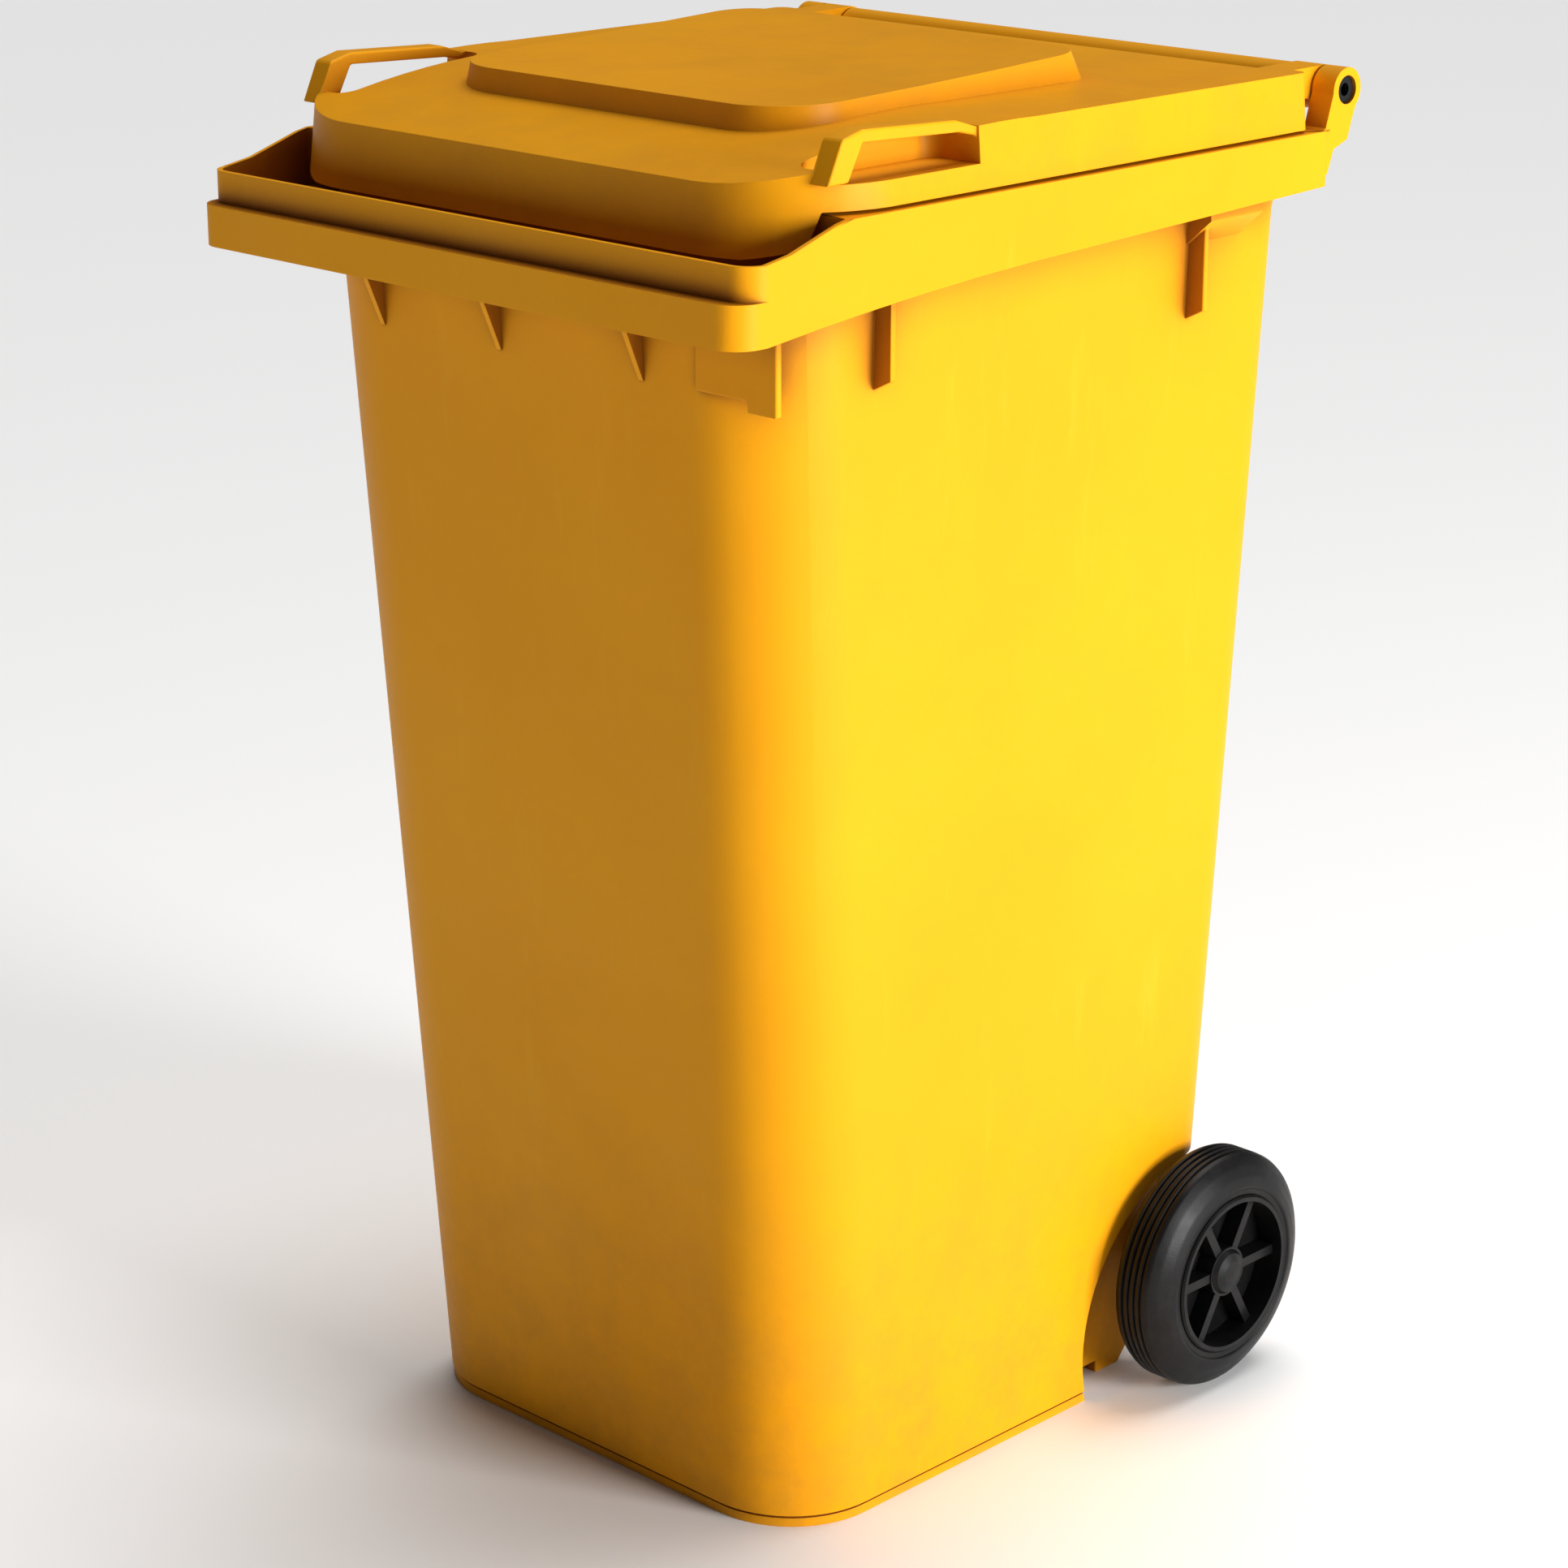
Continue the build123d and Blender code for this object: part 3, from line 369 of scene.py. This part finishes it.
def soften_edges(bm, width, share):
    """Give every sharp edge its rounding, held back where short or slanting neighbours leave no room."""
    layers = bm.edges.layers.float
    layer = layers.get("bevel_weight_edge") or layers.new("bevel_weight_edge")
    for edge in bm.edges:
        straight_on = len(edge.link_faces) != 2 or edge.calc_face_angle(0.0) < SHARP_ANGLE
        edge[layer] = 0.0 if straight_on else min(share(edge), safe_width(edge) / width)


def moulded(node, body, slot, width, segments, share):
    """A CAD moulding with its sharp edges rounded as a mould leaves them."""
    mesh = frame["nodes"][node].data.copy()
    bm = bmesh.new()
    bm.from_mesh(mesh)
    bmesh.ops.remove_doubles(bm, verts=bm.verts, dist=WELD_DISTANCE)
    soften_edges(bm, width, share)
    bm.to_mesh(mesh)
    bm.free()
    if "custom_normal" in mesh.attributes:
        mesh.attributes.remove(mesh.attributes["custom_normal"])
    for face in mesh.polygons:
        face.use_smooth = True
    piece = add_piece(node + "_moulded", mesh, node, body, slot)
    rounding = piece.modifiers.new("rounding", "BEVEL")
    rounding.width = width
    rounding.segments = segments
    rounding.limit_method = "WEIGHT"
    rounding.use_clamp_overlap = False
    shading = piece.modifiers.new("shading", "WEIGHTED_NORMAL")
    shading.mode = "FACE_AREA"
    shading.keep_sharp = False
    return piece


def lathe(bm, profile, segments):
    """Turn a closed (x, radius) profile about the X axis."""
    rings = []
    for step in range(segments):
        angle = 2 * math.pi * step / segments
        rings.append([bm.verts.new((x, r * math.sin(angle), r * math.cos(angle))) for x, r in profile])
    count = len(profile)
    for step in range(segments):
        here, there = rings[step], rings[(step + 1) % segments]
        for i in range(count):
            j = (i + 1) % count
            bm.faces.new((here[i], here[j], there[j], there[i]))


def rounded(profile, radius, steps):
    """Closed profile with every corner replaced by a short curve."""
    out = []
    count = len(profile)
    for i, corner in enumerate(profile):
        corner = Vector(corner)
        before = Vector(profile[i - 1]) - corner
        after = Vector(profile[(i + 1) % count]) - corner
        reach = min(radius, 0.45 * before.length, 0.45 * after.length)
        start = corner + before.normalized() * reach
        end = corner + after.normalized() * reach
        for step in range(steps + 1):
            t = step / steps
            out.append(tuple((1 - t) ** 2 * start + 2 * t * (1 - t) * corner + t ** 2 * end))
    return out


def place_tyre(bm, name, centre, side):
    """Move a right-hand tyre into place, mirroring it for the left, and make it a mesh."""
    bmesh.ops.transform(bm, matrix=Matrix.Translation(Vector((0, centre.y, centre.z))), verts=bm.verts)
    if side < 0:
        bmesh.ops.scale(bm, vec=(-1, 1, 1), verts=bm.verts)
    bmesh.ops.recalc_face_normals(bm, faces=bm.faces)
    mesh = bpy.data.meshes.new(name)
    bm.to_mesh(mesh)
    bm.free()
    for face in mesh.polygons:
        face.use_smooth = True
    mesh.set_sharp_from_angle(angle=TYRE_SHARP_ANGLE)
    return mesh


def wheel_span(node):
    """Inner x, outer x, radius and centre of a wheel node, as if on the right-hand side."""
    low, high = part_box(node)
    inner, outer = sorted((abs(low.x), abs(high.x)))
    return inner, outer, (high.z - low.z) / 2, (low + high) / 2


TREAD_GROOVES = [offset * MM for offset in (11.5, 17.5, 23.5, 29.5)]
GROOVE_HALF = 1.5 * MM
GROOVE_FOOT_HALF = 0.9 * MM
GROOVE_DEPTH = 2.6 * MM
SHOULDER_WIDTH = 15 * MM
TYRE_CORNER_R = 1.6 * MM
CORNER_STEPS = 3
TYRE_SEGMENTS = 144
TYRE_SHARP_ANGLE = math.radians(50)


def tyre_mesh(name, node, bead_r, side):
    """Solid tyre with circumferential tread grooves, round shoulders and a ribbed sidewall."""
    inner, outer, radius, centre = wheel_span(node)
    radius -= 0.2 * MM
    tread_end = outer - SHOULDER_WIDTH
    profile = [(inner + 3 * MM, bead_r), (inner + 0.4 * MM, bead_r + 6 * MM),
               (inner + 0.6 * MM, radius - 9 * MM), (inner + 3 * MM, radius - 2.5 * MM),
               (inner + 8 * MM, radius)]
    for offset in TREAD_GROOVES:
        x = inner + offset
        profile += [(x - GROOVE_HALF, radius), (x - GROOVE_FOOT_HALF, radius - GROOVE_DEPTH),
                    (x + GROOVE_FOOT_HALF, radius - GROOVE_DEPTH), (x + GROOVE_HALF, radius)]
    profile += [(tread_end + 2 * MM, radius - 2 * MM), (outer - 7.5 * MM, radius - 9 * MM),
                (outer - 3 * MM, radius - 17.5 * MM), (outer - 0.8 * MM, radius - 25 * MM),
                (outer - 0.9 * MM, radius - 27 * MM), (outer - 2.2 * MM, radius - 28 * MM),
                (outer - 2.2 * MM, bead_r)]
    bm = bmesh.new()
    lathe(bm, rounded(profile, TYRE_CORNER_R, CORNER_STEPS), TYRE_SEGMENTS)
    return place_tyre(bm, name, centre, side)


moulded("container", "bin", "yellow_hdpe", CONTAINER_ROUNDING, segments=3, share=rim_share)
moulded("lid", "lid_body", "yellow_lid", LID_ROUNDING, segments=3, share=even_share)
for side_name, side in (("right", 1), ("left", -1)):
    body = "wheel_" + side_name
    tyre = "tyre_" + side_name
    tread = "tyre_tread_" + side_name
    _, _, bead_r, _ = wheel_span("wheel_centre_" + side_name)
    add_piece(tread, tyre_mesh(tread, tyre, bead_r, side), tyre, body, "black_rubber")
    moulded("wheel_centre_" + side_name, body, "black_plastic", WHEEL_ROUNDING, segments=2, share=even_share)

node_slots = {part["node"]: part["material_slot"] for part in frame["record"]["subparts"]}
for name, node in frame["nodes"].items():
    if name not in replaced:
        node.data.materials.clear()
        node.data.materials.append(MATERIALS[node_slots[name]])

# ---------------------------------------------------------------- setting
floor_paint, _, floor_shader = new_material("pale_floor")
floor_shader.inputs["Base Color"].default_value = FLOOR_COLOUR
floor_shader.inputs["Roughness"].default_value = FLOOR_ROUGHNESS
floor_shader.inputs["Specular IOR Level"].default_value = FLOOR_SPECULAR
floor_corners = [(x * FLOOR_HALF, y * FLOOR_HALF, 0) for x, y in ((-1, -1), (1, -1), (1, 1), (-1, 1))]
floor_mesh = bpy.data.meshes.new("floor")
floor_mesh.from_pydata(floor_corners, [], [(0, 1, 2, 3)])
floor_mesh.materials.append(floor_paint)
floor = bpy.data.objects.new("floor", floor_mesh)
bpy.context.scene.collection.objects.link(floor)

world = bpy.data.worlds.new("studio")
world.use_nodes = True
backdrop = world.node_tree.nodes["Background"]
backdrop.inputs["Color"].default_value = BACKDROP_COLOUR
backdrop.inputs["Strength"].default_value = BACKDROP_STRENGTH
bpy.context.scene.world = world
bpy.context.scene.view_settings.view_transform = "Standard"
add_area_light("key", KEY_PLACE, KEY_AIM, KEY_SIZE, KEY_POWER)
add_wide_sky_light("sky", SKY_PLACE, SKY_STRENGTH, SKY_ANGLE)
add_camera()
